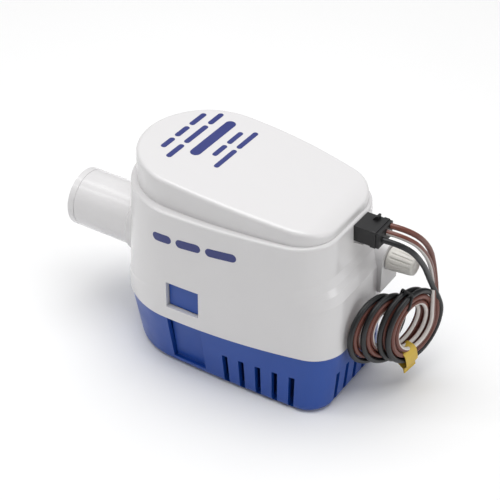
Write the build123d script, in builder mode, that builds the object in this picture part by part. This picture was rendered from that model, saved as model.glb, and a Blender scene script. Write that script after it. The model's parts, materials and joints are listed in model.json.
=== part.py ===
from build123d import *
import math
import os

os.makedirs("parts", exist_ok=True)

# Automatic bilge pump. X runs from the hose nozzle to the cable end, Z is up, z = 0 is the floor.
# All sizes are in millimetres.

# Heights of the main levels
seam_z = 29.7
shoulder_z = 87.2
chamber_roof_z = 59.5
motor_deck_z = 62.5
float_roof_z = 75.0
wiring_deck_z = 77.5
skirt_ceiling_z = 33.5

# Plan outlines: nose centre, nose radius, corner centre x, corner centre y, corner radius
shoulder_plan = (-8.5, 37.3, 43.5, 12.0, 19.5)
upper_crease_plan = (-11.2, 37.6, 44.5, 12.3, 19.4)
lower_crease_plan = (-11.3, 37.66, 51.8, 13.8, 16.4)
seam_plan = (-11.5, 37.7, 53.0, 14.0, 16.5)
foot_plan = (-13.0, 31.6, 54.0, 19.0, 12.6)
side_r = 280.0
foot_side_r = 900.0

# Slanted creases of the flared skirt: height over the origin and rise per millimetre of x
upper_crease_z = 48.9
upper_crease_rise = 0.28
lower_crease_z = 45.0
lower_crease_rise = 0.217

# Hose nozzle
nozzle_z = 48.5
nozzle_r = 14.3
nozzle_bore_r = 10.8
nozzle_tip_x = -84.0
nozzle_root_x = -49.7
root_collar = 1.6
root_bevel = 1.0
root_depth = 5.0
lip_length = 3.3
lip_groove = 0.25

# Walls
wall = 2.8
rim_inset = 6.5
dome_inset = 4.2
dome_wall = 3.0

rim_z = 82.0
shoulder_round = 1.3
dome_plan = (-10.3, 33.0, 44.5, 12.0, 17.0)
dome_crown = ((-60, 102.3), (-5, 100.1), (50, 94.5))
dome_brow = (63.5, 88.6)
crown_round = 2.0
spigot_z = 84.0
spigot_top_z = 91.0
gasket_height = 1.0

# Motor axis and pumping chamber
motor_x = -9.0
chamber_r = 27.0
shaft_r = 2.0
running_gap = 0.05
can_r = 20.5
motor_ring_h = 14.0
seal_r = 5.0
screw_circle_r = 29.3
screw_r = 1.4
screw_depth = 3.5
plate_r = 31.5
plate_half_width = 28.8
plate_thickness = 2.5
eye_r = 9.5
screw_head_r = 2.6

# Impeller and motor stack
vane_z = 37.5
shroud_z = 50.0
hub_top_z = 58.0
hub_r = 5.0
impeller_r = 21.0
bearing_r = 5.0
end_cap_z = 91.0
magnet_z = 67.0
core_z = 70.0
core_length = 14.0
core_r = 14.9
pole_count = 7
commutator_z = 86.5
commutator_r = 4.6
brush_z = 87.4
brush_length = 4.6
brush_reach = 7.2

# Float chamber
float_chamber_x = 22.5
pin_x = 27.5
pin_z = 50.0
pin_r = 1.5
pin_half_length = 33.0
float_step_z = 56.0
float_z = (34.0, 46.0)
barrel_r = 3.2
lug_x = 45.0
lug_y = 10.0
lug_z = 61.1
magnet_seat_z = 60.0
reed_r = 1.5

# Test knob
knob_y = 22.0
knob_z = 59.0
boss_root_x = 58.0
boss_face_x = 70.7
boss_r = 7.5
crank_x = 50.0
ring_r = 4.0
ring_depth = 2.2
knob_tip_x = 84.0
knob_shaft_r = 2.5
crank_length = 6.0
peg_x = 38.0
peg_r = 1.2
knob_r = 5.5
knob_gap = 0.2
knob_bevel = 0.9
knob_bore = 7.0
rib_count = 14
rib_groove_r = 0.7

# Release tabs and their windows
window_x = (-10.0, 7.0)
window_z = (36.3, 50.0)
tab_gap = 0.4
pocket_y = (29.5, 35.0)
tab_root_y = 29.6
tab_root_z = 4.0
tab_root_r = 1.3
tab_profile = ((30.6, 4), (34.7, 29.5), (34.7, 50.3), (32.7, 50.3), (32.7, 29.5), (28.6, 4))
latch_profile = ((34.0, 36.7), (35.5, 36.9), (35.5, 49.6), (34.0, 49.6))

# Strainer base
strainer_step = 0.3
strainer_wall = 2.2
floor_z = 3.0
foot_round = 3.5
foot_relief = 0.8
spigot_height = 3.0
first_slot_x = 19.0
slot_pitch = 8.35
slot_width = 2.8
slot_bottom_z = 1.0
slot_top_z = 18.0
mount_hole_x = (-28.0, 44.0)
mount_hole_r = 2.2

# Cable plug
plug_y = (0.3, 12.7)
plug_z = (78.6, 86.2)
plug_root_x = 56.6
plug_end_x = 75.5
barb_points = ((67.5, 86), (69.2, 88.4), (70.2, 88.4), (70.2, 86))
scoop_x = 61.6
scoop_points = ((0.3, 78.6), (0.3, 77.5), (9, 71), (15, 71), (15, 78.6))

# Wires, coil and leads
lead_r = 1.0
wire_r = 1.3
wire_paths = {
    "wire_brown": ((75.5, 10.8, 84.6), (90, 13, 83.5), (91.5, 33, 62.5), (89.5, 33.5, 38)),
    "wire_brown_white": ((75.5, 7.4, 83.2), (90.5, 9.5, 82.2), (91, 29, 59.5), (87.5, 30.5, 40)),
    "wire_black": ((75.5, 4.0, 81.2), (91.5, 5.5, 80.3), (92, 25, 58), (85.5, 27.5, 42)),
}
coil_centre = (82.5, 10.0, 31.0)
coil_reach = (28.5, 21.0)
coil_band = 9.5
coil_depth = 10.0
coil_turn = math.radians(14)
tie_width = 3.0
tie_gap = 0.8
tag_at = (15.3, -12.4)
tag_size = (8.0, 10.0, 1.0)


def middle(pair):
    """Middle of a pair of limits."""
    return (pair[0] + pair[1]) / 2


def span(pair):
    """Distance between a pair of limits."""
    return pair[1] - pair[0]


def blend(first, second, share):
    """Value part of the way from the first number or plan outline to the second."""
    if isinstance(first, tuple):
        return tuple(blend(low, high, share) for low, high in zip(first, second))
    return first + (second - first) * share


def outline(plan, level, inset=0.0, rise=0.0, flank_r=side_r):
    """Face with a round nose, gently curved flanks and two round corners, on a level or a slanted plane."""
    nose_x, nose_r, corner_x, corner_y, corner_r = plan
    nose_r -= inset
    corner_r -= inset
    flank_r -= inset
    stretch = math.hypot(1, rise)
    reach = math.hypot(corner_x - nose_x, corner_y)
    to_nose = flank_r - nose_r
    to_corner = flank_r - corner_r
    along = (to_nose**2 - to_corner**2 + reach**2) / (2 * reach)
    across = math.sqrt(to_nose**2 - along**2)
    unit_x = (corner_x - nose_x) / reach
    unit_y = corner_y / reach
    flank_x = nose_x + along * unit_x + across * unit_y
    flank_y = along * unit_y - across * unit_x
    nose_turn = math.degrees(math.atan2(-flank_y, nose_x - flank_x))
    corner_turn = math.degrees(math.atan2(corner_y - flank_y, corner_x - flank_x))
    end_x = (corner_x + corner_r) * stretch
    plane = Plane(origin=(0, 0, level), x_dir=(1, 0, rise), z_dir=(-rise, 0, 1))
    with BuildSketch(plane) as face:
        with BuildLine():
            Line((end_x, -corner_y), (end_x, corner_y))
            for side in (1, -1):
                corner_at = (corner_x * stretch, side * corner_y)
                flank_at = (flank_x * stretch, side * flank_y)
                start = side * corner_turn
                sweep = side * (nose_turn - corner_turn)
                if rise:
                    EllipticalCenterArc(corner_at, corner_r * stretch, corner_r, 0, arc_size=start)
                    EllipticalCenterArc(flank_at, flank_r * stretch, flank_r, start, arc_size=sweep)
                else:
                    CenterArc(corner_at, corner_r, 0, start)
                    CenterArc(flank_at, flank_r, start, sweep)
            nose_at = (nose_x * stretch, 0)
            nose_sweep = 360 - 2 * nose_turn
            if rise:
                EllipticalCenterArc(nose_at, nose_r * stretch, nose_r, nose_turn, arc_size=nose_sweep)
            else:
                CenterArc(nose_at, nose_r, nose_turn, nose_sweep)
        make_face()
    return face.sketch


def is_crown_rim(edge):
    """True for an edge round the dome's top, but not for its upright or level inner edges."""
    return edge.center().Z > shoulder_z + 1 and abs((edge % 0.5).Z) < 0.9 and (abs(edge.center().Y) > 0.1 or edge.center().X > 58 or edge.center().X < -40)


# Housing: one moulding with the nozzle, the flared skirt, the decks and the knob boss
motor_centre = (motor_x, 0)
flare_steps = (
    (-0.3, blend(lower_crease_plan, seam_plan, 0.1)),
    (0.3, blend(lower_crease_plan, upper_crease_plan, 0.3)),
    (0.7, blend(lower_crease_plan, upper_crease_plan, 0.7)),
    (1.3, blend(upper_crease_plan, shoulder_plan, 0.08)),
)
with BuildPart() as housing:
    add(outline(seam_plan, seam_z))
    for share, plan in flare_steps:
        level = blend(lower_crease_z, upper_crease_z, share)
        rise = blend(lower_crease_rise, upper_crease_rise, share)
        add(outline(plan, level, rise=rise))
    add(outline(shoulder_plan, shoulder_z))
    loft(ruled=True)
    fillet(housing.faces().sort_by(Axis.Z)[-1].edges(), radius=shoulder_round)

    # Nozzle tube with a bevelled collar at its root and a rounded lip behind a fine groove
    with BuildSketch(Plane.YZ.offset(nozzle_tip_x)):
        with Locations((0, nozzle_z)):
            Circle(nozzle_r)
    extrude(amount=motor_x - chamber_r - nozzle_tip_x)
    with BuildSketch(Plane.YZ.offset(nozzle_root_x)):
        with Locations((0, nozzle_z)):
            Circle(nozzle_r + root_collar - root_bevel)
    with BuildSketch(Plane.YZ.offset(nozzle_root_x + root_bevel)):
        with Locations((0, nozzle_z)):
            Circle(nozzle_r + root_collar)
    loft()
    with BuildSketch(Plane.YZ.offset(nozzle_root_x + root_bevel)):
        with Locations((0, nozzle_z)):
            Circle(nozzle_r + root_collar)
    extrude(amount=root_depth)
    with BuildSketch(Plane.YZ.offset(nozzle_tip_x + lip_length)):
        with Locations((0, nozzle_z)):
            Circle(nozzle_r + wall)
            Circle(nozzle_r - lip_groove, mode=Mode.SUBTRACT)
    extrude(amount=lip_groove * 2, mode=Mode.SUBTRACT)

    # Knob boss standing on the skirt's shoulder
    with BuildSketch(Plane.YZ.offset(boss_root_x)):
        with Locations((knob_y, knob_z)):
            Circle(boss_r)
        with Locations((knob_y, knob_z - boss_r)):
            Rectangle(2 * boss_r, 2 * boss_r)
    extrude(amount=boss_face_x - boss_root_x)

    # Recess in the skirt's underside, pumping chamber and outlet bore
    add(outline(seam_plan, seam_z, inset=wall))
    extrude(amount=skirt_ceiling_z - seam_z, mode=Mode.SUBTRACT)
    with BuildSketch(Plane.XY.offset(skirt_ceiling_z)):
        with Locations(motor_centre):
            Circle(chamber_r)
    extrude(amount=chamber_roof_z - skirt_ceiling_z, mode=Mode.SUBTRACT)
    with BuildSketch(Plane.YZ.offset(nozzle_tip_x)):
        with Locations((0, nozzle_z)):
            Circle(nozzle_bore_r)
    extrude(amount=motor_x - nozzle_tip_x, mode=Mode.SUBTRACT)

    # Float chamber, wide under the flare and narrower above it
    with BuildSketch(Plane.XY.offset(skirt_ceiling_z)):
        add(outline(lower_crease_plan, 0, inset=wall))
        with Locations((float_chamber_x, 0)):
            Rectangle(200, 200, align=(Align.MAX, Align.CENTER), mode=Mode.SUBTRACT)
    extrude(amount=float_step_z - skirt_ceiling_z, mode=Mode.SUBTRACT)
    with BuildSketch(Plane.XY.offset(float_step_z)):
        add(outline(shoulder_plan, 0, inset=wall))
        with Locations((float_chamber_x, 0)):
            Rectangle(200, 200, align=(Align.MAX, Align.CENTER), mode=Mode.SUBTRACT)
    extrude(amount=float_roof_z - float_step_z, mode=Mode.SUBTRACT)

    # Dry compartment: motor well at the nose, wiring space over the float chamber, rim under the cover
    with BuildSketch(Plane.XY.offset(motor_deck_z)):
        add(outline(shoulder_plan, 0, inset=wall))
        with Locations((float_chamber_x - wall, 0)):
            Rectangle(200, 200, align=(Align.MIN, Align.CENTER), mode=Mode.SUBTRACT)
    extrude(amount=rim_z - motor_deck_z, mode=Mode.SUBTRACT)
    add(outline(shoulder_plan, wiring_deck_z, inset=wall))
    extrude(amount=rim_z - wiring_deck_z, mode=Mode.SUBTRACT)
    add(outline(shoulder_plan, rim_z, inset=rim_inset))
    extrude(amount=shoulder_z - rim_z, mode=Mode.SUBTRACT)

    # Ring that centres the motor, shaft seal seat
    with BuildSketch(Plane.XY.offset(motor_deck_z)):
        with Locations(motor_centre):
            Circle(can_r + 2)
            Circle(can_r, mode=Mode.SUBTRACT)
    extrude(amount=motor_ring_h)
    with BuildSketch(Plane.XY.offset(chamber_roof_z)):
        with Locations(motor_centre):
            Circle(seal_r)
    extrude(amount=motor_deck_z - chamber_roof_z, mode=Mode.SUBTRACT)

    # Windows for the release tabs, with a pocket behind each
    for side in (-1, 1):
        with BuildSketch(Plane.XY.offset(seam_z)):
            with Locations((middle(window_x), side * (pocket_y[0] + pocket_y[1]) / 2)):
                Rectangle(span(window_x) + 3, span(pocket_y))
        extrude(amount=window_z[1] + 2 - seam_z, mode=Mode.SUBTRACT)
        with BuildSketch(Plane.XZ.offset(-side * middle(pocket_y))):
            with Locations((middle(window_x), middle(window_z))):
                Rectangle(span(window_x), span(window_z))
        extrude(amount=-side * 10, mode=Mode.SUBTRACT)

    # Opening for the cable plug with a shallow scoop under it
    with BuildSketch(Plane.YZ.offset(plug_root_x)):
        with Locations((middle(plug_y), middle(plug_z))):
            Rectangle(span(plug_y), span(plug_z))
    extrude(amount=20, mode=Mode.SUBTRACT)
    with BuildSketch(Plane.YZ.offset(scoop_x)):
        Polygon(*scoop_points, align=None)
    extrude(amount=10, mode=Mode.SUBTRACT)

    # Knob shaft hole and its O-ring seat
    with BuildSketch(Plane.YZ.offset(crank_x)):
        with Locations((knob_y, knob_z)):
            Circle(knob_shaft_r + running_gap)
    extrude(amount=30, mode=Mode.SUBTRACT)
    with BuildSketch(Plane.YZ.offset(boss_face_x - ring_depth)):
        with Locations((knob_y, knob_z)):
            Circle(ring_r)
    extrude(amount=10, mode=Mode.SUBTRACT)

    # Sockets for the float's pivot pin and the volute plate's screws
    with BuildSketch(Plane.XZ.offset(-pin_half_length)):
        with Locations((pin_x, pin_z)):
            Circle(pin_r)
    extrude(amount=2 * pin_half_length, mode=Mode.SUBTRACT)
    with BuildSketch(Plane.XY.offset(skirt_ceiling_z)):
        with Locations(motor_centre):
            with PolarLocations(screw_circle_r, 3):
                Circle(screw_r)
    extrude(amount=screw_depth, mode=Mode.SUBTRACT)
housing.part.label = "pump_housing"
export_step(housing.part, "parts/pump_housing.step")

# Top cover: domed cap whose top falls away towards the cable end
with BuildPart() as dome_hollow:
    add(outline(dome_plan, shoulder_z - 1, inset=dome_wall))
    extrude(amount=30)
    with BuildSketch(Plane.XZ):
        with BuildLine():
            crown = ThreePointArc(*[(x - dome_wall / 2, z - dome_wall) for x, z in dome_crown])
            brow = TangentArc(crown @ 1, (dome_brow[0] - dome_wall, dome_brow[1] - dome_wall), tangent=crown % 1)
            Polyline(brow @ 1, brow @ 1 + Vector(0, -20), crown @ 0 + Vector(0, -40), crown @ 0)
        make_face()
    extrude(amount=60, both=True, mode=Mode.INTERSECT)
with BuildPart() as top_cover:
    add(outline(dome_plan, shoulder_z))
    extrude(amount=30)
    with BuildSketch(Plane.XZ):
        with BuildLine():
            crown = ThreePointArc(*dome_crown)
            brow = TangentArc(crown @ 1, dome_brow, tangent=crown % 1)
            Polyline(brow @ 1, brow @ 1 + Vector(0, -20), crown @ 0 + Vector(0, -40), crown @ 0)
        make_face()
    extrude(amount=60, both=True, mode=Mode.INTERSECT)
    crown_edges = [edge for edge in top_cover.edges() if is_crown_rim(edge)]
    fillet(crown_edges, radius=crown_round)
    add(dome_hollow.part, mode=Mode.SUBTRACT)
    add(outline(dome_plan, shoulder_z, inset=1))
    add(outline(dome_plan, shoulder_z, inset=2), mode=Mode.SUBTRACT)
    extrude(amount=gasket_height, mode=Mode.SUBTRACT)
    add(outline(shoulder_plan, spigot_z, inset=rim_inset + 0.2))
    extrude(amount=spigot_top_z - spigot_z)
    add(outline(shoulder_plan, spigot_z, inset=rim_inset + 2))
    extrude(amount=spigot_top_z - spigot_z, mode=Mode.SUBTRACT)
top_cover.part.label = "top_cover"
export_step(top_cover.part, "parts/top_cover.step")

# Strainer base: slotted blue moulding with a spigot inside the skirt and a cradle for each tab's root
with BuildPart() as strainer_base:
    add(outline(foot_plan, 0, flank_r=foot_side_r))
    add(outline(seam_plan, seam_z, inset=strainer_step))
    loft(ruled=True)
    fillet(strainer_base.faces().sort_by(Axis.Z)[0].edges(), radius=foot_round)
    add(outline(foot_plan, floor_z, inset=strainer_wall, flank_r=foot_side_r))
    add(outline(seam_plan, seam_z, inset=strainer_step + strainer_wall))
    loft(ruled=True, mode=Mode.SUBTRACT)
    for bottom, height, inset in ((seam_z - 2, 2, strainer_wall), (seam_z, spigot_height, wall + 0.2)):
        with BuildSketch(Plane.XY.offset(bottom)):
            add(outline(seam_plan, 0, inset=inset))
            add(outline(seam_plan, 0, inset=wall + strainer_wall), mode=Mode.SUBTRACT)
        extrude(amount=height)
    with BuildSketch(Plane.XY.offset(slot_bottom_z)):
        for side in (-1, 1):
            for number in range(5):
                with Locations((first_slot_x + number * slot_pitch, side * 33)):
                    Rectangle(slot_width, 14)
        for number in range(-2, 3):
            with Locations((67, number * slot_pitch)):
                Rectangle(14, slot_width)
        for number in range(-1, 2):
            with Locations((-47, number * slot_pitch)):
                Rectangle(14, slot_width)
    extrude(amount=slot_top_z - slot_bottom_z, mode=Mode.SUBTRACT)
    for side in (-1, 1):
        with BuildSketch(Plane.XY.offset(floor_z - 2)):
            with Locations((middle(window_x), side * 28.8)):
                Rectangle(span(window_x) + 6, 4.8)
        extrude(amount=4.6)
        with BuildSketch(Plane.YZ.offset(window_x[0] - tab_gap)):
            with Locations((side * tab_root_y, tab_root_z)):
                Circle(tab_root_r + running_gap)
        extrude(amount=span(window_x) + 2 * tab_gap, mode=Mode.SUBTRACT)
        with BuildSketch(Plane.XY.offset(tab_root_z)):
            with Locations((middle(window_x), side * 36.6)):
                Rectangle(span(window_x) + 2 * tab_gap, 16.8)
        extrude(amount=seam_z + spigot_height - tab_root_z, mode=Mode.SUBTRACT)
    with BuildSketch(Plane.XY):
        with Locations((34, 0)):
            Rectangle(44, 100)
    extrude(amount=foot_relief, mode=Mode.SUBTRACT)
    with BuildSketch(Plane.XY):
        with Locations(*((x, 0) for x in mount_hole_x)):
            Circle(mount_hole_r)
    extrude(amount=floor_z + 1, mode=Mode.SUBTRACT)
strainer_base.part.label = "strainer_base"
export_step(strainer_base.part, "parts/strainer_base.step")

# Release tabs: springy tongues that latch in the windows and turn on a round root
tab_width = span(window_x) - 2 * tab_gap + 0.4
for name, side in (("release_tab_front", -1), ("release_tab_back", 1)):
    with BuildPart() as tab:
        with BuildSketch(Plane.YZ.offset(middle(window_x) - tab_width / 2)):
            Polygon(*((side * y, z) for y, z in tab_profile), align=None)
            with Locations((side * tab_root_y, tab_root_z)):
                Circle(tab_root_r)
        extrude(amount=tab_width)
        latch_width = span(window_x) - 2 * tab_gap
        with BuildSketch(Plane.YZ.offset(middle(window_x) - latch_width / 2)):
            Polygon(*((side * y, z) for y, z in latch_profile), align=None)
        extrude(amount=latch_width)
    tab.part.label = name
    export_step(tab.part, f"parts/{name}.step")

# Volute plate under the pumping chamber, with the inlet eye
with BuildPart() as volute_plate:
    with BuildSketch(Plane.XY.offset(skirt_ceiling_z - plate_thickness)):
        with Locations(motor_centre):
            Circle(plate_r)
            Rectangle(2 * plate_r, 2 * plate_half_width, mode=Mode.INTERSECT)
            with PolarLocations(screw_circle_r, 3):
                Circle(screw_r + 0.1, mode=Mode.SUBTRACT)
    extrude(amount=plate_thickness)
    with BuildSketch(Plane.XY.offset(skirt_ceiling_z)):
        with Locations(motor_centre):
            Circle(chamber_r - 0.2)
            Circle(chamber_r - 2.2, mode=Mode.SUBTRACT)
    extrude(amount=2)
    with BuildSketch(Plane.XY.offset(skirt_ceiling_z - plate_thickness - 3)):
        with Locations(motor_centre):
            Circle(eye_r + 1.8)
    extrude(amount=3)
    with BuildSketch(Plane.XY.offset(skirt_ceiling_z - 10)):
        with Locations(motor_centre):
            Circle(eye_r)
    extrude(amount=20, mode=Mode.SUBTRACT)
volute_plate.part.label = "volute_plate"
export_step(volute_plate.part, "parts/volute_plate.step")

# Screws that hold the volute plate
with BuildPart() as plate_screws:
    with BuildSketch(Plane.XY.offset(skirt_ceiling_z - plate_thickness)):
        with Locations(motor_centre):
            with PolarLocations(screw_circle_r, 3):
                Circle(screw_r)
    extrude(amount=plate_thickness + screw_depth)
    with BuildSketch(Plane.XY.offset(skirt_ceiling_z - plate_thickness)):
        with Locations(motor_centre):
            with PolarLocations(screw_circle_r, 3):
                Circle(screw_head_r)
                Rectangle(3.2, 0.8, mode=Mode.SUBTRACT)
    extrude(amount=-1.8)
plate_screws.part.label = "volute_plate_screws"
export_step(plate_screws.part, "parts/volute_plate_screws.step")

# Impeller with backward-leaning vanes under a shroud
with BuildPart() as impeller:
    with BuildSketch(Plane.XY.offset(vane_z)):
        with Locations(motor_centre):
            Circle(hub_r)
    extrude(amount=hub_top_z - vane_z)
    with BuildSketch(Plane.XY.offset(shroud_z)):
        with Locations(motor_centre):
            Circle(impeller_r)
    extrude(amount=2)
    with BuildSketch(Plane.XY.offset(vane_z)):
        with Locations(motor_centre):
            with PolarLocations(12.6, 6):
                Rectangle(15, 1.8, rotation=28)
    extrude(amount=shroud_z - vane_z)
    with BuildSketch(Plane.XY.offset(vane_z)):
        with Locations(motor_centre):
            Circle(shaft_r)
    extrude(amount=30, mode=Mode.SUBTRACT)
impeller.part.label = "impeller"
export_step(impeller.part, "parts/impeller.step")

# Round motor pieces, each a stack of rings about the motor axis: outer radius, inner radius, bottom, top
ring_parts = {
    "motor_shaft": ((shaft_r, 0, vane_z + 1, 94.5),),
    "shaft_seal": ((seal_r, shaft_r + running_gap, chamber_roof_z, motor_deck_z),),
    "motor_can": (
        (can_r - 0.1, can_r - 1.3, motor_deck_z, end_cap_z),
        (can_r - 0.5, bearing_r, motor_deck_z, motor_deck_z + 1.5),
        (bearing_r + 1.2, bearing_r, motor_deck_z, motor_deck_z + 5),
    ),
    "lower_bearing": ((bearing_r, shaft_r + running_gap, motor_deck_z + 1, motor_deck_z + 5),),
    "upper_bearing": ((bearing_r - 1, shaft_r + running_gap, end_cap_z, end_cap_z + 3),),
}
for name, rings in ring_parts.items():
    with BuildPart() as turned:
        for outer_r, inner_r, bottom, top in rings:
            with BuildSketch(Plane.XY.offset(bottom)):
                with Locations(motor_centre):
                    Circle(outer_r)
                    if inner_r:
                        Circle(inner_r, mode=Mode.SUBTRACT)
            extrude(amount=top - bottom)
    turned.part.label = name
    export_step(turned.part, f"parts/{name}.step")

# Field magnets: two arcs inside the can
for name, turn in (("field_magnet_left", 90), ("field_magnet_right", -90)):
    with BuildPart() as magnet:
        with BuildSketch(Plane.XY.offset(magnet_z)):
            with BuildLine():
                outer = CenterArc(motor_centre, can_r - 1.4, turn - 60, 120)
                inner = CenterArc(motor_centre, can_r - 5.1, turn - 60, 120)
                Line(outer @ 0, inner @ 0)
                Line(outer @ 1, inner @ 1)
            make_face()
        extrude(amount=20)
    magnet.part.label = name
    export_step(magnet.part, f"parts/{name}.step")

# Armature core with seven winding slots
with BuildPart() as core:
    with BuildSketch(Plane.XY.offset(core_z)):
        with Locations(motor_centre):
            Circle(core_r)
            Circle(shaft_r, mode=Mode.SUBTRACT)
            with PolarLocations(10.4, pole_count):
                Rectangle(6.4, 3.6, mode=Mode.SUBTRACT)
            with PolarLocations(core_r, pole_count):
                Rectangle(4, 1.2, mode=Mode.SUBTRACT)
    extrude(amount=core_length)
core.part.label = "armature_core"
export_step(core.part, "parts/armature_core.step")

# Copper windings: bundles in the slots joined by the end turns
with BuildPart() as windings:
    with BuildSketch(Plane.XY.offset(core_z - 2)):
        with Locations(motor_centre):
            with PolarLocations(10.4, pole_count):
                Rectangle(6.2, 3.4)
    extrude(amount=core_length + 4)
    for bottom in (core_z - 2, core_z + core_length + 0.1):
        with BuildSketch(Plane.XY.offset(bottom)):
            with Locations(motor_centre):
                Circle(13.4)
                Circle(6.6, mode=Mode.SUBTRACT)
        extrude(amount=1.9)
windings.part.label = "armature_windings"
export_step(windings.part, "parts/armature_windings.step")

# Commutator with a fine cut between its bars
with BuildPart() as commutator:
    with BuildSketch(Plane.XY.offset(commutator_z)):
        with Locations(motor_centre):
            Circle(commutator_r)
            Circle(shaft_r, mode=Mode.SUBTRACT)
            with PolarLocations(commutator_r, pole_count):
                Rectangle(1.2, 0.4, mode=Mode.SUBTRACT)
    extrude(amount=end_cap_z - commutator_z - 0.3)
commutator.part.label = "commutator"
export_step(commutator.part, "parts/commutator.step")

# Carbon brushes and the end cap that holds them
with BuildPart() as brushes:
    with BuildSketch(Plane.XY.offset(brush_z)):
        with Locations((motor_x - brush_reach, 0), (motor_x + brush_reach, 0)):
            Rectangle(brush_length, 3)
    extrude(amount=3)
brushes.part.label = "brush_pair"
export_step(brushes.part, "parts/brush_pair.step")
with BuildPart() as end_cap:
    with BuildSketch(Plane.XY.offset(end_cap_z)):
        with Locations(motor_centre):
            Circle(can_r - 0.1)
    extrude(amount=2)
    with BuildSketch(Plane.XY.offset(end_cap_z)):
        with Locations(motor_centre):
            Circle(bearing_r + 0.6)
    extrude(amount=3)
    with BuildSketch(Plane.XY.offset(brush_z - 0.8)):
        with Locations((motor_x - brush_reach - 0.8, 0), (motor_x + brush_reach + 0.8, 0)):
            Rectangle(brush_length, 5)
    extrude(amount=end_cap_z - brush_z + 0.8)
    with BuildSketch(Plane.XY.offset(brush_z)):
        with Locations((motor_x - brush_reach, 0), (motor_x + brush_reach, 0)):
            Rectangle(brush_length, 3)
    extrude(amount=3, mode=Mode.SUBTRACT)
    with BuildSketch(Plane.XY.offset(end_cap_z)):
        with Locations(motor_centre):
            Circle(bearing_r - 1)
    extrude(amount=3, mode=Mode.SUBTRACT)
end_cap.part.label = "motor_end_cap"
export_step(end_cap.part, "parts/motor_end_cap.step")

# Float: sealed block on a pivot barrel, with a lifting lug and a magnet post
with BuildPart() as float_block:
    with BuildSketch(Plane.XY.offset(float_z[0])):
        with Locations((42, 0)):
            RectangleRounded(32, 44, 5)
    extrude(amount=span(float_z))
    with BuildSketch(Plane.XY.offset(float_z[1] - 4)):
        with Locations((27.5, 0)):
            Rectangle(3.4, 40)
    extrude(amount=pin_z - float_z[1] + 4)
    with BuildSketch(Plane.XZ.offset(20)):
        with Locations((pin_x, pin_z)):
            Circle(barrel_r)
    extrude(amount=-40)
    with BuildSketch(Plane.XZ.offset(20)):
        with Locations((pin_x, pin_z)):
            Circle(pin_r + running_gap)
    extrude(amount=-40, mode=Mode.SUBTRACT)
    with BuildSketch(Plane.XY.offset(float_z[1])):
        with Locations((lug_x, lug_y)):
            Rectangle(4, 4)
    extrude(amount=lug_z + 2.5 - float_z[1])
    with BuildSketch(Plane.XY.offset(lug_z)):
        with Locations((lug_x, lug_y - 2)):
            Rectangle(4, 13, align=(Align.CENTER, Align.MIN))
    extrude(amount=2.5)
    with BuildSketch(Plane.XY.offset(float_z[1])):
        with Locations((lug_x, -lug_y)):
            Rectangle(4, 4)
    extrude(amount=magnet_seat_z - float_z[1])
float_block.part.label = "float"
export_step(float_block.part, "parts/float.step")

with BuildPart() as float_magnet:
    with BuildSketch(Plane.XY.offset(magnet_seat_z)):
        with Locations((lug_x, -lug_y)):
            Rectangle(4, 4)
    extrude(amount=4)
float_magnet.part.label = "float_magnet"
export_step(float_magnet.part, "parts/float_magnet.step")

with BuildPart() as pivot_pin:
    with BuildSketch(Plane.XZ.offset(pin_half_length)):
        with Locations((pin_x, pin_z)):
            Circle(pin_r)
    extrude(amount=-2 * pin_half_length)
pivot_pin.part.label = "float_pivot_pin"
export_step(pivot_pin.part, "parts/float_pivot_pin.step")

# Reed switch on its small board, over the float magnet
with BuildPart() as reed:
    with BuildSketch(Plane.XY.offset(wiring_deck_z)):
        with Locations((lug_x, -lug_y)):
            Rectangle(18, 6)
    extrude(amount=1.2)
    with BuildSketch(Plane.YZ.offset(lug_x - 7)):
        with Locations((-lug_y, wiring_deck_z + 2.4)):
            Circle(reed_r)
    extrude(amount=14)
reed.part.label = "reed_switch"
export_step(reed.part, "parts/reed_switch.step")

# Test knob with ribs, a bevelled end and a bore for its shaft
with BuildPart() as knob:
    knob_root_x = boss_face_x + knob_gap
    with BuildSketch(Plane(origin=(0, knob_y, knob_z), x_dir=(1, 0, 0), z_dir=(0, -1, 0))):
        with BuildLine():
            Polyline(
                (knob_root_x, 0),
                (knob_root_x, knob_r),
                (knob_tip_x - knob_bevel, knob_r - 0.3),
                (knob_tip_x, knob_r - 0.3 - knob_bevel),
                (knob_tip_x, 0),
                close=True,
            )
        make_face()
    revolve(axis=Axis((0, knob_y, knob_z), (1, 0, 0)))
    with BuildSketch(Plane.YZ.offset(boss_face_x + 2)):
        with Locations((knob_y, knob_z)):
            with PolarLocations(knob_r + 0.25, rib_count):
                Circle(rib_groove_r)
    extrude(amount=knob_tip_x - boss_face_x - 4, mode=Mode.SUBTRACT)
    with BuildSketch(Plane.YZ.offset(boss_face_x)):
        with Locations((knob_y, knob_z)):
            Circle(knob_shaft_r)
    extrude(amount=knob_bore, mode=Mode.SUBTRACT)
knob.part.label = "test_knob"
export_step(knob.part, "parts/test_knob.step")

# Knob shaft with the crank peg that lifts the float
with BuildPart() as knob_shaft:
    with BuildSketch(Plane.YZ.offset(crank_x)):
        with Locations((knob_y, knob_z)):
            Circle(knob_shaft_r)
    extrude(amount=boss_face_x + knob_bore - crank_x)
    with BuildSketch(Plane.YZ.offset(crank_x)):
        with Locations((knob_y - crank_length / 2, knob_z)):
            SlotOverall(crank_length + 4.4, 4.4)
    extrude(amount=2.5)
    with BuildSketch(Plane.YZ.offset(peg_x)):
        with Locations((knob_y - crank_length, knob_z)):
            Circle(peg_r)
    extrude(amount=crank_x - peg_x)
knob_shaft.part.label = "knob_shaft"
export_step(knob_shaft.part, "parts/knob_shaft.step")

with BuildPart() as knob_ring:
    with BuildSketch(Plane.YZ.offset(boss_face_x - ring_depth)):
        with Locations((knob_y, knob_z)):
            Circle(ring_r)
            Circle(knob_shaft_r + running_gap, mode=Mode.SUBTRACT)
    extrude(amount=ring_depth)
knob_ring.part.label = "knob_o_ring"
export_step(knob_ring.part, "parts/knob_o_ring.step")

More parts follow.
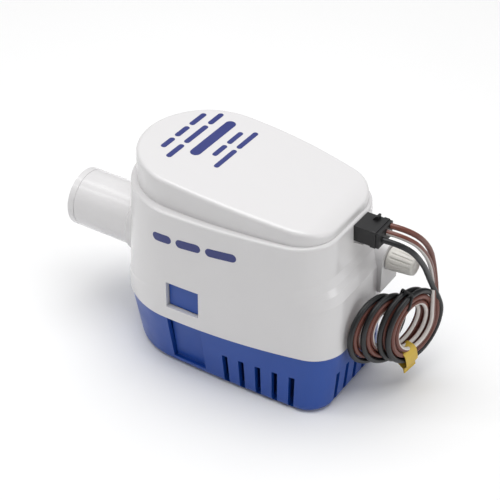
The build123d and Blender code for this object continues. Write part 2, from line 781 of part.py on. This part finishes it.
# Cable plug through the end wall, with a collar and a small barb
with BuildPart() as plug:
    with BuildSketch(Plane.YZ.offset(plug_root_x)):
        with Locations((middle(plug_y), middle(plug_z))):
            Rectangle(span(plug_y), span(plug_z))
    extrude(amount=plug_end_x - plug_root_x)
    with BuildSketch(Plane.YZ.offset(plug_end_x - 4)):
        with Locations((middle(plug_y), middle(plug_z))):
            RectangleRounded(span(plug_y) + 1, span(plug_z) + 1, 0.8)
    extrude(amount=2.4)
    with BuildSketch(Plane.XZ.offset(-plug_y[1] + 1)):
        Polygon(*barb_points, align=None)
    extrude(amount=3)
plug.part.label = "cable_plug"
export_step(plug.part, "parts/cable_plug.step")

# Gasket under the cover's foot
with BuildPart() as gasket:
    add(outline(dome_plan, shoulder_z, inset=1))
    extrude(amount=gasket_height)
    add(outline(dome_plan, shoulder_z, inset=2))
    extrude(amount=gasket_height, mode=Mode.SUBTRACT)
gasket.part.label = "cover_gasket"
export_step(gasket.part, "parts/cover_gasket.step")

# Leads inside the dry compartment, from the plug to the brushes and the reed switch
lead_paths = (
    ((plug_root_x, 4, 82), (50, 4, 82), (30, -3, 84), (15.5, -3, 86), (13.5, -3, 94.6), (4, -2.5, 94.6)),
    ((plug_root_x, 7, 82.6), (50, 7, 82.6), (32, 6, 85), (15.5, 4, 87), (13.5, 4, 94.6), (4, 2.5, 94.6)),
    ((plug_root_x, 10, 80.6), (51, 10, 80.6), (45, 0, 79.9), (lug_x, -lug_y + 2.5, 79.9)),
)
with BuildPart() as leads:
    for points in lead_paths:
        with BuildLine() as lead_line:
            FilletPolyline(*points, radius=1.6)
        with BuildSketch(Plane(origin=lead_line.line @ 0, z_dir=lead_line.line % 0)):
            Circle(lead_r)
        sweep(path=lead_line.line)
leads.part.label = "internal_leads"
export_step(leads.part, "parts/internal_leads.step")

# Free wires from the plug down to the coil. The run between them is plain: the coil is one closed ring.
for name, points in wire_paths.items():
    turns = []
    for before, corner, after in zip(points, points[1:], points[2:]):
        arrive = Vector(*corner) - Vector(*before)
        leave = Vector(*after) - Vector(*corner)
        half_turn = math.radians(arrive.get_angle(leave)) / 2
        turns.append(0.45 * min(arrive.length, leave.length) / math.tan(half_turn))
    print(name, "arc radii", [round(radius, 1) for radius in turns])
    with BuildPart() as wire:
        with BuildLine() as wire_line:
            FilletPolyline(*points, radius=turns)
        with BuildSketch(Plane(origin=wire_line.line @ 0, z_dir=wire_line.line % 0)):
            Circle(wire_r)
        sweep(path=wire_line.line)
    wire_length = sum(edge.length for edge in wire_line.edges())
    volume_share = wire.part.volume / (math.pi * wire_r**2 * wire_length)
    print(name, "length", round(wire_length, 1), "volume share", round(volume_share, 3))
    wire.part.label = name
    export_step(wire.part, f"parts/{name}.step")

coil_plane = Plane(
    origin=coil_centre,
    x_dir=(math.sin(coil_turn), math.cos(coil_turn), 0),
    z_dir=(math.cos(coil_turn), -math.sin(coil_turn), 0),
)
with BuildPart() as coil:
    with BuildSketch(coil_plane.offset(-coil_depth / 2)):
        Ellipse(*coil_reach)
        Ellipse(coil_reach[0] - coil_band, coil_reach[1] - coil_band, mode=Mode.SUBTRACT)
    extrude(amount=coil_depth)
coil.part.label = "wire_coil"
export_step(coil.part, "parts/wire_coil.step")

# Twist tie round the top of the coil and a plain tape tag on its face
with BuildPart() as tie:
    with BuildSketch(coil_plane.offset(-coil_depth / 2 - tie_gap)):
        with Locations((0, coil_reach[1] - coil_band / 2)):
            Rectangle(tie_width, coil_band + 2 * tie_gap)
    extrude(amount=coil_depth + 2 * tie_gap)
    add(coil.part, mode=Mode.SUBTRACT)
tie.part.label = "coil_tie"
export_step(tie.part, "parts/coil_tie.step")
with BuildPart() as tag:
    with BuildSketch(coil_plane.offset(coil_depth / 2)):
        with Locations(tag_at):
            Rectangle(tag_size[0], tag_size[1])
    extrude(amount=tag_size[2])
tag.part.label = "coil_tag"
export_step(tag.part, "parts/coil_tag.step")
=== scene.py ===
import json
import math

import bmesh
import bpy
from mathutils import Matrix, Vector
from mathutils.bvhtree import BVHTree


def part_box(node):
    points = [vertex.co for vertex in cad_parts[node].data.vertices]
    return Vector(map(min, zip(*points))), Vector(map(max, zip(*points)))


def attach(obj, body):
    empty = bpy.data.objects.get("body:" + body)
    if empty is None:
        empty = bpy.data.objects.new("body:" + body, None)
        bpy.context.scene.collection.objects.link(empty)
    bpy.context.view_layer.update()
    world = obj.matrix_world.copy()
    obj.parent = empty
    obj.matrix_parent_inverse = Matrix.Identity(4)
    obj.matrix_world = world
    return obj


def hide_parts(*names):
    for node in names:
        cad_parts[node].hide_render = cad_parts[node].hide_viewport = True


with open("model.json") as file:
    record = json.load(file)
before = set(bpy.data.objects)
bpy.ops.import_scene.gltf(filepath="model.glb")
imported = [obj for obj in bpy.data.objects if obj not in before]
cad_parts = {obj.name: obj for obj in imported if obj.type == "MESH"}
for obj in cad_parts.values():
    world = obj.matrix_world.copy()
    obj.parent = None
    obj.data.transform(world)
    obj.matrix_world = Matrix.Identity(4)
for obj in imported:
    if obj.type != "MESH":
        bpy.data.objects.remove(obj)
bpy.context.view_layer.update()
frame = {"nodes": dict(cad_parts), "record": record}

scene = bpy.context.scene
nodes = frame["nodes"]

# ---------------------------------------------------------------------------------------------
# Camera
# ---------------------------------------------------------------------------------------------
CAMERA_PLACE = Vector((0.30993, -0.46566, 0.45577))
CAMERA_TARGET = Vector((0.010547, 0.0, 0.052815))
CAMERA_LENS = 108.13

camera_data = bpy.data.cameras.new("camera")
camera_data.lens = CAMERA_LENS
camera_data.sensor_width = 36.0
camera_data.clip_start = 0.01
camera = bpy.data.objects.new("camera", camera_data)
camera.location = CAMERA_PLACE
camera.rotation_euler = (CAMERA_TARGET - CAMERA_PLACE).to_track_quat("-Z", "Y").to_euler()
scene.collection.objects.link(camera)
scene.camera = camera

# ---------------------------------------------------------------------------------------------
# Wires: three free wires from the plug, down into one loose coil that hangs by the end wall
# ---------------------------------------------------------------------------------------------
WIRE_D = 0.0026
WIRE_SPACING = 1.08 * WIRE_D
COIL_TURNS = 4.0
POINTS_PER_TURN = 16
COIL_PITCH = 0.00278
COIL_FRONT = 0.0056
COIL_START = 16.0
COIL_CENTRE = Vector((0.0825, 0.010, 0.031))
COIL_TURN = math.radians(14)
COIL_ALONG = Vector((math.sin(COIL_TURN), math.cos(COIL_TURN), 0))
COIL_FACE = Vector((math.cos(COIL_TURN), -math.sin(COIL_TURN), 0))
COIL_UP = Vector((0, 0, 1))

# Each turn's sideways shift, lift, half width and half height of its outermost wire
TURN_SHAPES = (
    (0.0062, 0.0012, 0.0172, 0.0182),
    (0.0056, 0.0014, 0.0166, 0.0176),
    (0.0022, 0.0016, 0.0178, 0.0180),
    (-0.0090, 0.0034, 0.0168, 0.0166),
    (-0.0118, 0.0044, 0.0156, 0.0160),
    (-0.0118, 0.0044, 0.0156, 0.0160),
)

# Name: route from the plug in millimetres, and how many wires inside the outermost it runs
WIRE_ROUTES = {
    "wire_black": (((75.5, 4.0, 81.2), (86.5, 6.0, 80.6), (89.5, 17, 66), (89.6, 25.5, 51)), 0),
    "wire_brown": (((75.5, 10.8, 84.6), (84.5, 12.6, 84.2), (88.0, 25, 70.5), (88.6, 31, 55)), 1),
    "wire_brown_white": (((75.5, 7.4, 83.2), (86.0, 9.4, 82.6), (89.2, 21, 68.4), (89.9, 28, 53)), 2),
}


def turn_shape(turn):
    """Shift, lift, half width and half height of the coil at a turn, easing from one turn to the next."""
    low = min(int(turn), len(TURN_SHAPES) - 2)
    share = turn - low
    first, second = TURN_SHAPES[low], TURN_SHAPES[low + 1]
    return [a + (b - a) * share for a, b in zip(first, second)]


def coil_point(turn, inside):
    """Point of the coil after so many turns, for a wire that runs inside the outermost by so many wires."""
    shift, lift, half_along, half_up = turn_shape(turn)
    angle = math.radians(COIL_START - 360 * turn)
    inset = inside * WIRE_SPACING
    along = shift + (half_along - inset) * math.cos(angle)
    up = lift + (half_up - inset) * math.sin(angle)
    face = COIL_FRONT - COIL_PITCH * turn
    return COIL_CENTRE + COIL_ALONG * along + COIL_UP * up + COIL_FACE * face


def make_curve(name, points, depth, cyclic=False):
    """A smooth round tube along control points."""
    data = bpy.data.curves.new(name, "CURVE")
    data.dimensions = "3D"
    data.bevel_depth = depth
    data.bevel_resolution = 4
    data.resolution_u = 6
    data.use_fill_caps = True
    spline = data.splines.new("NURBS")
    spline.points.add(len(points) - 1)
    for point, place in zip(spline.points, points):
        point.co = (*place, 1.0)
    spline.order_u = 3
    spline.use_endpoint_u = not cyclic
    spline.use_cyclic_u = cyclic
    piece = bpy.data.objects.new(name, data)
    scene.collection.objects.link(piece)
    return piece


def spline_length(piece):
    """Length of a tube's centreline, read from a copy with no bevel."""
    bare = bpy.data.objects.new("bare", piece.data.copy())
    bare.data.bevel_depth = 0
    mesh = bpy.data.meshes.new_from_object(bare)
    bpy.data.objects.remove(bare)
    total = sum(
        (mesh.vertices[edge.vertices[0]].co - mesh.vertices[edge.vertices[1]].co).length
        for edge in mesh.edges
    )
    bpy.data.meshes.remove(mesh)
    return total


wires = {}
steps = int(COIL_TURNS * POINTS_PER_TURN)
for name, (route, inside) in WIRE_ROUTES.items():
    points = [tuple(value / 1000 for value in place) for place in route]
    points += [coil_point(step / POINTS_PER_TURN, inside) for step in range(steps + 1)]
    wires[name] = make_curve(f"{name}_cord", points, WIRE_D / 2)

# ---------------------------------------------------------------------------------------------
# Materials: every one is node based, in the row frame's metres
# ---------------------------------------------------------------------------------------------


def new_material(name):
    """An empty node material with its shader and its object coordinates."""
    made = bpy.data.materials.new(name)
    made.use_nodes = True
    tree = made.node_tree
    tree.nodes.clear()
    output = tree.nodes.new("ShaderNodeOutputMaterial")
    shader = tree.nodes.new("ShaderNodeBsdfPrincipled")
    tree.links.new(shader.outputs["BSDF"], output.inputs["Surface"])
    place = tree.nodes.new("ShaderNodeTexCoord").outputs["Object"]
    return made, tree, shader, place


def noise(tree, place, scale, detail=3.0):
    """Noise with so many cycles to the metre."""
    node = tree.nodes.new("ShaderNodeTexNoise")
    node.inputs["Scale"].default_value = scale
    node.inputs["Detail"].default_value = detail
    tree.links.new(place, node.inputs["Vector"])
    return node.outputs["Fac"]


def spread(tree, value, low, high):
    """A 0 to 1 value spread between two numbers."""
    node = tree.nodes.new("ShaderNodeMapRange")
    node.inputs["From Min"].default_value = 0.3
    node.inputs["From Max"].default_value = 0.7
    node.inputs["To Min"].default_value = low
    node.inputs["To Max"].default_value = high
    tree.links.new(value, node.inputs["Value"])
    return node.outputs["Result"]


def tint(tree, value, first, second):
    """A colour between two, by a 0 to 1 value."""
    node = tree.nodes.new("ShaderNodeMix")
    node.data_type = "RGBA"
    node.inputs[6].default_value = (*first, 1)
    node.inputs[7].default_value = (*second, 1)
    tree.links.new(value, node.inputs[0])
    return node.outputs[2]


def bump(tree, shader, layers):
    """Stacked bumps: each layer is a height, a strength and a depth in metres."""
    normal = None
    for height, strength, depth in layers:
        node = tree.nodes.new("ShaderNodeBump")
        node.inputs["Strength"].default_value = strength
        node.inputs["Distance"].default_value = depth
        tree.links.new(height, node.inputs["Height"])
        if normal is not None:
            tree.links.new(normal, node.inputs["Normal"])
        normal = node.outputs["Normal"]
    tree.links.new(normal, shader.inputs["Normal"])


GRAIN_DEPTH = 0.000012


def moulded(name, colour, shade, rough, grain=2600, wave=42, wave_depth=0.0006, coat=0.0):
    """Moulded plastic or rubber: slow sink marks, a fine grain, and gloss that varies a little."""
    made, tree, shader, place = new_material(name)
    slow = noise(tree, place, wave, 2.0)
    patch = noise(tree, place, 70, 2.0)
    fine = noise(tree, place, grain, 2.0)
    tree.links.new(tint(tree, patch, colour, shade), shader.inputs["Base Color"])
    tree.links.new(spread(tree, patch, rough[0], rough[1]), shader.inputs["Roughness"])
    bump(tree, shader, ((slow, 0.25, wave_depth), (fine, 0.35, GRAIN_DEPTH)))
    shader.inputs["Coat Weight"].default_value = coat
    shader.inputs["Coat Roughness"].default_value = 0.12
    return made


def metal(name, colour, shade, rough, scale=900, stretch=(1, 1, 12)):
    """Metal with fine drawn lines and uneven gloss."""
    made, tree, shader, place = new_material(name)
    lines = tree.nodes.new("ShaderNodeMapping")
    lines.inputs["Scale"].default_value = stretch
    tree.links.new(place, lines.inputs["Vector"])
    drawn = noise(tree, lines.outputs["Vector"], scale, 3.0)
    patch = noise(tree, place, 260, 4.0)
    tree.links.new(tint(tree, patch, colour, shade), shader.inputs["Base Color"])
    tree.links.new(spread(tree, drawn, rough[0], rough[1]), shader.inputs["Roughness"])
    shader.inputs["Metallic"].default_value = 1.0
    bump(tree, shader, ((drawn, 0.3, 0.00002),))
    return made


def glassy(name, colour):
    """Greenish glass with a slightly uneven skin."""
    made, tree, shader, place = new_material(name)
    patch = noise(tree, place, 400, 2.0)
    tree.links.new(tint(tree, patch, colour, tuple(c * 0.85 for c in colour)), shader.inputs["Base Color"])
    tree.links.new(spread(tree, patch, 0.03, 0.1), shader.inputs["Roughness"])
    shader.inputs["Transmission Weight"].default_value = 0.7
    bump(tree, shader, ((patch, 0.1, 0.00005),))
    return made


BROWN = (0.17, 0.052, 0.036)
DARK_BROWN = (0.13, 0.04, 0.028)

materials = {
    "white_plastic": moulded(
        "white_plastic", (0.735, 0.725, 0.73), (0.72, 0.71, 0.715), (0.2, 0.27), coat=0.2, wave_depth=0.0004
    ),
    "knob_plastic": moulded("knob_plastic", (0.77, 0.755, 0.71), (0.72, 0.70, 0.655), (0.34, 0.46)),
    "blue_plastic": moulded("blue_plastic", (0.008, 0.066, 0.36), (0.006, 0.057, 0.32), (0.3, 0.42)),
    "black_rubber": moulded("black_rubber", (0.008, 0.008, 0.009), (0.014, 0.014, 0.015), (0.42, 0.6), 3200),
    "brown_wire": moulded("brown_wire", BROWN, DARK_BROWN, (0.28, 0.42), 4000, 160),
    "striped_wire": moulded("striped_wire", BROWN, DARK_BROWN, (0.28, 0.42), 4000, 160),
    "black_wire": moulded(
        "black_wire", (0.006, 0.0065, 0.008), (0.012, 0.0125, 0.014), (0.3, 0.45), 4000, 160
    ),
    "amber_tape": moulded("amber_tape", (0.70, 0.52, 0.06), (0.58, 0.34, 0.03), (0.3, 0.5), 1800, 110),
    "grey_plastic": moulded("grey_plastic", (0.11, 0.115, 0.125), (0.09, 0.095, 0.10), (0.4, 0.55)),
    "steel": metal("steel", (0.55, 0.56, 0.58), (0.46, 0.47, 0.49), (0.25, 0.42)),
    "magnet": moulded("magnet", (0.045, 0.045, 0.048), (0.03, 0.03, 0.032), (0.5, 0.7), 1500),
    "copper": metal("copper", (0.72, 0.33, 0.16), (0.6, 0.24, 0.1), (0.25, 0.45)),
    "carbon": moulded("carbon", (0.02, 0.02, 0.021), (0.032, 0.032, 0.033), (0.55, 0.75), 2500),
    "brass": metal("brass", (0.68, 0.5, 0.22), (0.55, 0.4, 0.17), (0.3, 0.5)),
    "float_plastic": moulded("float_plastic", (0.72, 0.72, 0.70), (0.66, 0.66, 0.64), (0.4, 0.55)),
    "reed_glass": glassy("reed_glass", (0.7, 0.86, 0.76)),
    "navy_print": moulded("navy_print", (0.022, 0.032, 0.17), (0.03, 0.042, 0.20), (0.35, 0.5), 5000, 300),
}

for subpart in frame["record"]["subparts"]:
    shown = nodes[subpart["node"]]
    shown.data.materials.clear()
    shown.data.materials.append(materials[subpart["material_slot"]])

# ---------------------------------------------------------------------------------------------
# The wires as cords: a tracer on the striped one, each with its material and body, in place of its CAD wire
# ---------------------------------------------------------------------------------------------


def finish_piece(piece, slot, replaced=(), body="pump_body"):
    """Gives a new piece the material of a slot if it has none yet, puts it on its body, and hides the CAD
    nodes it stands for.
    """
    if not piece.data.materials:
        piece.data.materials.append(materials[slot])
    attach(piece, body)
    if replaced:
        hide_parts(*replaced)
    return piece


def add_tracer(material):
    """A pale tracer line along one side of a wire."""
    tree = material.node_tree
    shader = next(node for node in tree.nodes if node.type == "BSDF_PRINCIPLED")
    ground = shader.inputs["Base Color"].links[0].from_socket
    around = tree.nodes.new("ShaderNodeSeparateXYZ")
    tree.links.new(tree.nodes.new("ShaderNodeTexCoord").outputs["UV"], around.inputs["Vector"])
    band = tree.nodes.new("ShaderNodeMapRange")
    band.interpolation_type = "SMOOTHSTEP"
    band.inputs["From Min"].default_value = 0.135
    band.inputs["From Max"].default_value = 0.115
    far = tree.nodes.new("ShaderNodeMath")
    far.operation = "PINGPONG"
    far.inputs[1].default_value = 0.25
    tree.links.new(around.outputs["Y"], far.inputs[0])
    tree.links.new(far.outputs["Value"], band.inputs["Value"])
    line = tree.nodes.new("ShaderNodeMix")
    line.data_type = "RGBA"
    line.inputs[7].default_value = (0.72, 0.68, 0.65, 1)
    tree.links.new(band.outputs["Result"], line.inputs[0])
    tree.links.new(ground, line.inputs[6])
    tree.links.new(line.outputs[2], shader.inputs["Base Color"])


add_tracer(materials["striped_wire"])

WIRE_SLOTS = {"wire_black": "black_wire", "wire_brown": "brown_wire", "wire_brown_white": "striped_wire"}
for name, wire in wires.items():
    finish_piece(wire, WIRE_SLOTS[name], (name,))
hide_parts("wire_coil")

# ---------------------------------------------------------------------------------------------
# Twist tie round the top of the coil, and the folded tape tag round its foot
# ---------------------------------------------------------------------------------------------
TIE_THICKNESS = 0.0011
TIE_ROOM = 0.0019
TIE_LAST_TURN = 2.3
TIE_POINTS = 28
TIE_WAVER = 0.0006


def bundle_frame(angle, first_turn=0.0, last_turn=COIL_TURNS, inside_most=2):
    """Middle, outward direction and half sizes of the bundle of some turns, at an angle of the coil."""
    turns = [turn + (math.radians(COIL_START) - angle) / math.tau for turn in range(0, int(COIL_TURNS) + 2)]
    turns = [turn for turn in turns if first_turn <= turn <= last_turn]
    places = [coil_point(turn, inside) for turn in turns for inside in range(inside_most + 1)]
    outward = (COIL_ALONG * math.cos(angle) + COIL_UP * math.sin(angle)).normalized()
    faces = [(place - COIL_CENTRE).dot(COIL_FACE) for place in places]
    reaches = [(place - COIL_CENTRE).dot(outward) for place in places]
    middle = (
        COIL_CENTRE
        + COIL_FACE * (max(faces) + min(faces)) / 2
        + outward * (max(reaches) + min(reaches)) / 2
    )
    return middle, outward, (max(faces) - min(faces)) / 2, (max(reaches) - min(reaches)) / 2


def squared(angle, power=0.55):
    """Cosine and sine of an angle pushed outwards, for a rectangle with rounded corners."""
    return [math.copysign(abs(value) ** power, value) for value in (math.cos(angle), math.sin(angle))]


TIE_ANGLE = math.radians(84)
middle, outward, half_face, half_out = bundle_frame(TIE_ANGLE, 0.0, TIE_LAST_TURN)
tangent = outward.cross(COIL_FACE)
loop = []
for step in range(TIE_POINTS):
    angle = math.tau * step / TIE_POINTS
    side, rise = squared(angle)
    loop.append(
        middle
        + COIL_FACE * side * (half_face + TIE_ROOM)
        + outward * rise * (half_out + TIE_ROOM)
        + tangent * TIE_WAVER * math.sin(3 * angle)
    )
tie = make_curve("twist_tie", loop, TIE_THICKNESS / 2, cyclic=True)
finish_piece(tie, "black_rubber", ("coil_tie",))

TAG_ANGLE = math.radians(-76)
TAG_WIDTH = 0.0075
TAG_FLAP = 0.0042
TAG_THICKNESS = 0.00035
TAG_ROOM = 0.0005
TAG_PINCH = 0.0012
TAG_LAST_TURN = 1.9
TAG_START = math.radians(72)
TAG_WRAP = math.radians(324)
TAG_STEPS = 28


def make_mesh(name, rings, closed=True, caps=True):
    """A solid from rings of points of equal number, each joined to the next."""
    data = bpy.data.meshes.new(name)
    mesh = bmesh.new()
    rows = [[mesh.verts.new(point) for point in ring] for ring in rings]
    for first, second in zip(rows, rows[1:]):
        count = len(first) if closed else len(first) - 1
        for index in range(count):
            after = (index + 1) % len(first)
            mesh.faces.new((first[index], first[after], second[after], second[index]))
    if caps:
        mesh.faces.new(list(reversed(rows[0])))
        mesh.faces.new(rows[-1])
    bmesh.ops.recalc_face_normals(mesh, faces=mesh.faces)
    mesh.to_mesh(data)
    mesh.free()
    piece = bpy.data.objects.new(name, data)
    scene.collection.objects.link(piece)
    return piece


def shade(piece, angle=40):
    """Smooth shading, kept crisp at edges sharper than an angle."""
    for face in piece.data.polygons:
        face.use_smooth = True
    piece.data.set_sharp_from_angle(angle=math.radians(angle))
    return piece


middle, outward, half_face, half_out = bundle_frame(TAG_ANGLE, 0.0, TAG_LAST_TURN)
tangent = outward.cross(COIL_FACE)
half_side = half_face + WIRE_D / 2 + TAG_ROOM
half_rise = half_out + WIRE_D / 2 + TAG_ROOM
flap_side = half_side * 0.2
flap_rise = half_rise + TAG_FLAP
pinch_rise = half_rise + TAG_PINCH
path = [(flap_side - TAG_THICKNESS * 0.6, flap_rise), (half_side * 0.35, pinch_rise)]
for step in range(TAG_STEPS + 1):
    side, rise = squared(TAG_START - TAG_WRAP * step / TAG_STEPS)
    path.append((side * half_side, rise * half_rise))
path += [(half_side * 0.1, pinch_rise), (flap_side + TAG_THICKNESS * 0.6, flap_rise)]
rings = []
for index, (side, rise) in enumerate(path):
    before = path[max(index - 1, 0)]
    after = path[min(index + 1, len(path) - 1)]
    run = Vector((after[0] - before[0], after[1] - before[1])).normalized()
    across = Vector((-run.y, run.x)) * TAG_THICKNESS / 2
    ring = []
    for thick, wide in ((1, 1), (-1, 1), (-1, -1), (1, -1)):
        place = Vector((side, rise)) + across * thick
        ring.append(
            middle + COIL_FACE * place.x + outward * place.y + tangent * (TAG_WIDTH / 2 * wide)
        )
    rings.append(ring)
tag = shade(make_mesh("tape_tag", rings))
finish_piece(tag, "amber_tape", ("coil_tag",))

# ---------------------------------------------------------------------------------------------
# Plain navy bars where the real pump is printed, a hair proud of the plastic
# ---------------------------------------------------------------------------------------------
PRINT_PROUD = 0.00007
PRINT_SINK = 0.00012
CAST_BACK = 0.03
ABOVE_COVER = 120
BEFORE_HOUSING = -60


def surface_tree(name):
    """Search tree over a CAD node's mesh."""
    mesh = nodes[name].data
    corners = [vertex.co.copy() for vertex in mesh.vertices]
    return BVHTree.FromPolygons(corners, [tuple(face.vertices) for face in mesh.polygons])


def printed_bar(name, tree, start, end, height, towards, ends=4, step=0.0012):
    """A bar with round ends, cast along a direction onto a surface that start and end stand off."""
    along = (end - start).normalized()
    across = along.cross(towards).normalized()
    length = (end - start).length
    count = max(2, round(length / step))
    half = height / 2
    rings = []
    stations = [(length * index / count, half) for index in range(count + 1)]
    first = []
    last = []
    for index in range(1, ends + 1):
        turn = math.pi / 2 * index / (ends + 0.35)
        first.insert(0, (-half * math.sin(turn), half * math.cos(turn)))
        last.append((length + half * math.sin(turn), half * math.cos(turn)))
    for distance, reach in first + stations + last:
        upper = []
        lower = []
        for share in (-1, -0.33, 0.33, 1):
            origin = start + along * distance + across * (reach * share) - towards * CAST_BACK
            place, normal = tree.ray_cast(origin, towards)[:2]
            upper.append(place + normal * PRINT_PROUD)
            lower.append(place - normal * PRINT_SINK)
        rings.append(upper + list(reversed(lower)))
    piece = shade(make_mesh(name, rings))
    piece.data.materials.append(materials["navy_print"])
    return finish_piece(piece, "blue_plastic")


cover_tree = surface_tree("top_cover")
down = Vector((0, 0, -1))
# Each row: place along X, height of its bars, and where each bar starts and ends along Y, in millimetres
COVER_ROWS = (
    (-28.0, 2.7, ((-12.0, -3.0), (-1.2, 8.5), (10.3, 22.0))),
    (-21.6, 2.7, ((-17.0, -5.0), (-3.2, 14.0), (15.8, 26.6))),
    (-13.8, 5.0, ((-9.0, 24.0),)),
    (-6.0, 2.5, ((-4.0, 6.0), (7.8, 19.0))),
    (-0.5, 2.5, ((-11.0, 5.5), (7.2, 23.0))),
)
printed = 0
for row_x, height, bars in COVER_ROWS:
    for bar_from, bar_to in bars:
        printed += 1
        start = Vector((row_x, bar_from + height / 2, ABOVE_COVER)) / 1000
        end = Vector((row_x, bar_to - height / 2, ABOVE_COVER)) / 1000
        printed_bar(f"cover_bar_{printed}", cover_tree, start, end, height / 1000, down)

housing_tree = surface_tree("pump_housing")
back = Vector((0, 1, 0))
# Each bar: where it starts and ends along X and Z, and its height, in millimetres
SIDE_BARS = (
    ((-16.6, 73.2), (-6.4, 73.7), 4.2),
    ((-4.0, 73.8), (8.6, 74.4), 4.2),
    ((11.0, 74.5), (26.0, 75.2), 4.2),
)
for number, ((from_x, from_z), (to_x, to_z), height) in enumerate(SIDE_BARS, 1):
    start = Vector((from_x + height / 2, BEFORE_HOUSING, from_z)) / 1000
    end = Vector((to_x - height / 2, BEFORE_HOUSING, to_z)) / 1000
    printed_bar(f"side_bar_{number}", housing_tree, start, end, height / 1000, back)

# ---------------------------------------------------------------------------------------------
# Test knob: a tapered cap with grooves round it, on the same shaft
# ---------------------------------------------------------------------------------------------
KNOB_GROOVES = 15
KNOB_GROOVE_DEPTH = 0.00055
KNOB_POINTS = KNOB_GROOVES * 8
low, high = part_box("test_knob")
knob_middle = (low + high) / 2
# Each ring: share of the way from root to tip, radius in metres, share of the groove's depth
KNOB_RINGS = (
    (0.0, 0.0026, 0.0),
    (0.0, 0.0050, 0.0),
    (0.02, 0.0054, 0.0),
    (0.10, 0.0055, 0.0),
    (0.13, 0.0055, 0.3),
    (0.18, 0.00545, 1.0),
    (0.45, 0.00515, 1.0),
    (0.75, 0.0048, 1.0),
    (0.86, 0.00465, 0.8),
    (0.92, 0.0045, 0.2),
    (0.97, 0.0042, 0.0),
    (0.99, 0.0036, 0.0),
    (0.985, 0.0030, 0.0),
    (0.97, 0.0026, 0.0),
)
rings = []
for share, radius, groove in KNOB_RINGS:
    ring = []
    for step in range(KNOB_POINTS):
        angle = math.tau * step / KNOB_POINTS
        dip = max(0.0, math.cos(KNOB_GROOVES * angle)) ** 0.6 * KNOB_GROOVE_DEPTH * groove
        reach = radius - dip
        x = low.x + (high.x - low.x) * share
        ring.append(
            Vector((x, knob_middle.y + reach * math.cos(angle), knob_middle.z + reach * math.sin(angle)))
        )
    rings.append(ring)
knob_cap = shade(make_mesh("knob_cap", rings), 50)
finish_piece(knob_cap, "knob_plastic", ("test_knob",), "knob")

# ---------------------------------------------------------------------------------------------
# Floor, light and world
# ---------------------------------------------------------------------------------------------
FLOOR_HALF = 3
FLOOR_Z = -0.0002
floor_corners = [(x * FLOOR_HALF, y * FLOOR_HALF, FLOOR_Z) for x, y in ((-1, -1), (1, -1), (1, 1), (-1, 1))]
floor_mesh = bpy.data.meshes.new("floor")
floor_mesh.from_pydata(floor_corners, [], [(0, 1, 2, 3)])
floor = bpy.data.objects.new("floor", floor_mesh)
scene.collection.objects.link(floor)
floor_look, floor_tree, floor_shader, floor_place = new_material("floor")
floor_patch = noise(floor_tree, floor_place, 6.0, 2.0)
floor_tree.links.new(
    tint(floor_tree, floor_patch, (0.93, 0.93, 0.93), (0.90, 0.90, 0.90)), floor_shader.inputs["Base Color"]
)
floor_shader.inputs["Roughness"].default_value = 0.9
floor_mesh.materials.append(floor_look)


def area_light(name, place, target, size, power, size_y=None):
    """A soft rectangular light that faces a point."""
    data = bpy.data.lights.new(name, "AREA")
    data.shape = "RECTANGLE"
    data.size = size
    data.size_y = size_y or size
    data.energy = power
    light = bpy.data.objects.new(name, data)
    light.location = place
    light.rotation_euler = (Vector(target) - Vector(place)).to_track_quat("-Z", "Y").to_euler()
    scene.collection.objects.link(light)
    return light


area_light("overhead", (-0.05, 0.05, 1.1), (0, 0, 0.05), 1.1, 11.5)
area_light("strip", (-0.62, -0.38, 0.62), (-0.03, 0, 0.05), 0.07, 0.7, 0.7)
area_light("side", (0.95, 0.1, 0.35), (0.05, 0, 0.05), 0.4, 1.3)

world = bpy.data.worlds.new("studio")
world.use_nodes = True
world.node_tree.nodes["Background"].inputs["Color"].default_value = (1, 1, 1, 1)
world.node_tree.nodes["Background"].inputs["Strength"].default_value = 0.34
scene.world = world
scene.view_settings.view_transform = "Standard"

# ---------------------------------------------------------------------------------------------
# Cords: the length of each is worked out, and nothing uses it
# ---------------------------------------------------------------------------------------------
for name, wire in wires.items():
    route = WIRE_ROUTES[name][0]
    round(spline_length(wire), 3)
